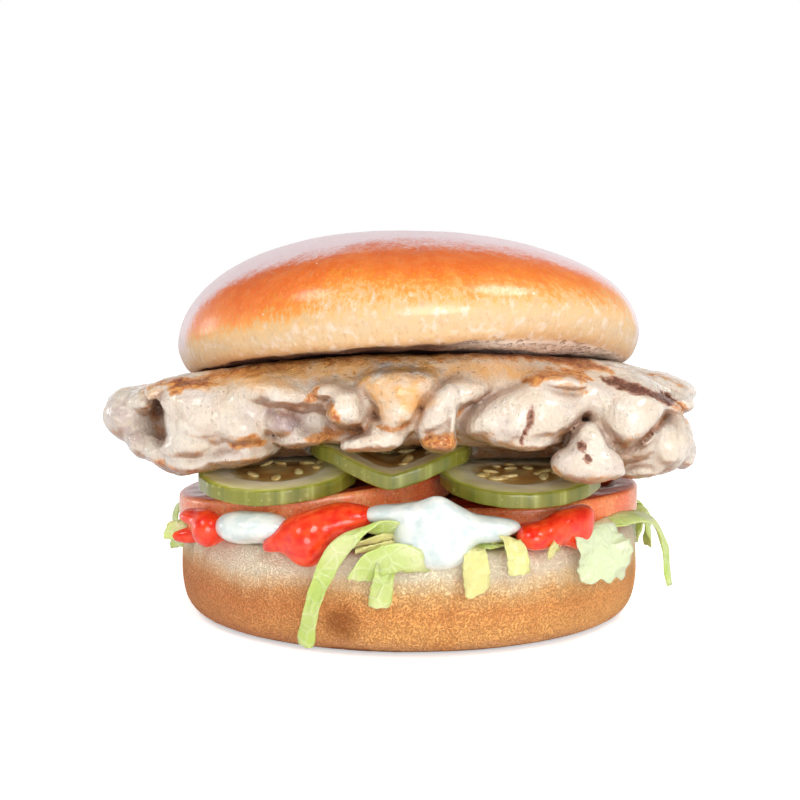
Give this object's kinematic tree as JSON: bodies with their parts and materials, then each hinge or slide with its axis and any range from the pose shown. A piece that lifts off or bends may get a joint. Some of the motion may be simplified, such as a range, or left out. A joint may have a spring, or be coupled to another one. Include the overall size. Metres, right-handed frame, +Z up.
{
  "type": "chicken burger",
  "caption": "Chicken burger with a glossy round bun, a grilled chicken thigh, gherkin slices, tomato slices, red and white sauce, and shreds of lettuce hanging over the bottom bun",
  "frame": {"origin": "middle of the flat base of the bottom bun", "axes": "+X along the longest extent, across the front; +Y from the shown front to the back; +Z up"},
  "size_m": [0.1373, 0.1198, 0.0907],
  "materials": {
    "crust": "egg-washed baked crust, glossy, orange brown above and cream below",
    "crumb": "matt baked crust with fine pores, pale cream band under the cut edge",
    "meat": "moist grilled chicken, pale with browned ridges",
    "gherkin": "wet pickled gherkin, pale flesh, olive skin",
    "tomato": "wet tomato flesh and skin",
    "ketchup": "glossy red sauce",
    "mayo": "glossy white sauce",
    "lettuce": "crisp pale green leaf"
  },
  "bodies": {
    "root": {"bun_top": "crust", "bun_bottom": "crumb", "chicken": "meat", "pickle_left": "gherkin", "pickle_middle": "gherkin", "pickle_right": "gherkin", "pickle_back_left": "gherkin", "pickle_back_right": "gherkin", "tomato_left": "tomato", "tomato_right": "tomato", "tomato_back": "tomato", "ketchup_left": "ketchup", "ketchup_centre": "ketchup", "ketchup_right": "ketchup", "ketchup_back": "ketchup", "mayo_left": "mayo", "mayo_centre": "mayo", "mayo_back": "mayo", "lettuce": "lettuce"}
  },
  "joints": []
}
